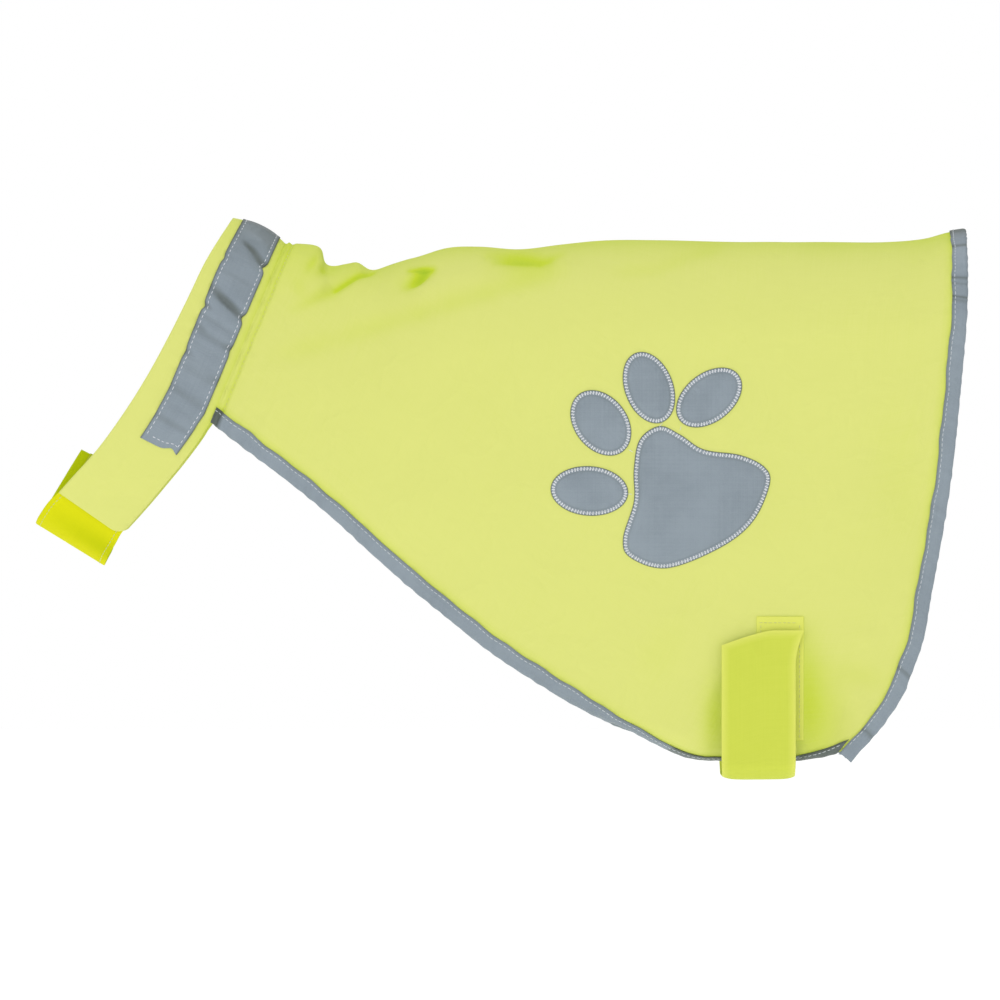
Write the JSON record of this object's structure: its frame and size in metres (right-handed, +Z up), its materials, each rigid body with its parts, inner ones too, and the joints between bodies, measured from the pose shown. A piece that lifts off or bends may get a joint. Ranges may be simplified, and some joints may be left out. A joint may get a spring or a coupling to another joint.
{
  "type": "dog safety vest",
  "caption": "High-visibility dog vest: a cape over the back with a closing neck band, reflective edge tape, a reflective paw and a belly strap.",
  "frame": {"origin": "on the underside of the cape at the spine, 190 mm behind the neck seam, where the wearer's back holds the vest", "axes": "+X towards the tail, +Y towards the dog's right side, which is the far side, +Z up"},
  "size_m": [0.5607, 0.1489, 0.3375],
  "materials": {
    "lime_cloth": "fluorescent yellow-green plain-weave polyester, matt",
    "lime_tape": "fluorescent yellow-green loop tape, soft and matt",
    "lime_hook_tape": "olive hook tape, gritty",
    "grey_reflective": "blue-grey reflective tape with a soft satin sheen"
  },
  "bodies": {
    "root": {"cape": "lime_cloth", "collar_band": "lime_cloth", "collar_strip": "grey_reflective", "throat_tab": "lime_tape", "throat_hook": "lime_hook_tape", "front_binding_near": "grey_reflective", "front_binding_far": "grey_reflective", "rear_binding": "grey_reflective", "belly_strap": "lime_tape", "belly_hook": "lime_hook_tape", "belly_patch": "lime_tape", "paw_pad": "grey_reflective", "toe_1": "grey_reflective", "toe_2": "grey_reflective", "toe_3": "grey_reflective", "toe_4": "grey_reflective"}
  },
  "joints": []
}
